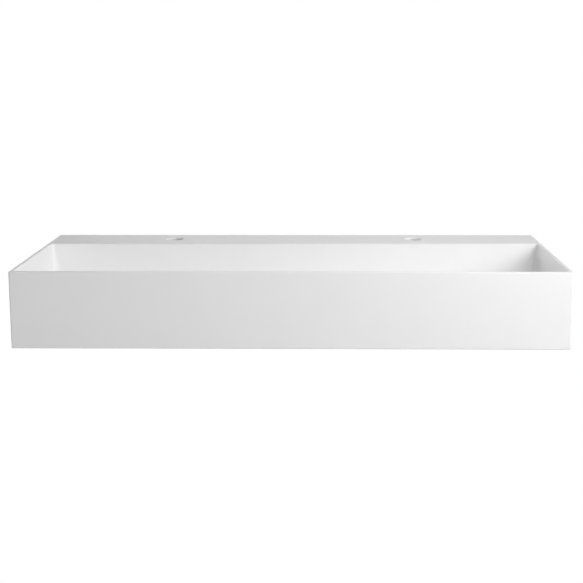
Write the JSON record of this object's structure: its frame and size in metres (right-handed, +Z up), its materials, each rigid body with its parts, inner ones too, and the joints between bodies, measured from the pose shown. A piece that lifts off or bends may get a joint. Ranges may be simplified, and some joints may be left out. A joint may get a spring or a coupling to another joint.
{
  "type": "stone washbasin",
  "caption": "Wide rectangular cast-stone washbasin for wall mounting, with a tap deck, drafted bowl, push-to-open waste under a matching stone cap, and a hollow underside.",
  "frame": {"origin": "on the wall plane (the basin's rear face) at mid width, level with the two wall-bolt holes, 70 mm under the rim", "axes": "+X to the right as seen from the front, +Y out of the rear face into the wall, +Z up"},
  "size_m": [1, 0.46, 0.1675],
  "materials": {
    "cast_stone": "satin",
    "chromed_brass": "polished",
    "raw_brass": "satin",
    "spring_steel": "bright",
    "black_rubber": "matt",
    "white_nylon": "matt"
  },
  "bodies": {
    "basin": {"basin_casting": "cast_stone", "wall_bolt_bushes": "white_nylon", "waste_body": "chromed_brass", "flange_gasket": "black_rubber", "floor_gasket": "black_rubber", "slip_washer": "white_nylon", "back_nut": "raw_brass", "cartridge_barrel": "raw_brass", "latch_pin": "spring_steel", "cartridge_clip": "spring_steel", "cartridge_spring": "spring_steel"},
    "plug": {"plug_cap": "cast_stone", "plug_plate": "chromed_brass", "plug_seal": "black_rubber", "cartridge_plunger": "raw_brass"}
  },
  "joints": [
    {"name": "plug_lift", "type": "slide", "parent": "basin", "child": "plug", "axis": [0, 0, 1], "range_m": [0, 0.009], "deforming": ["cartridge_spring"]}
  ]
}
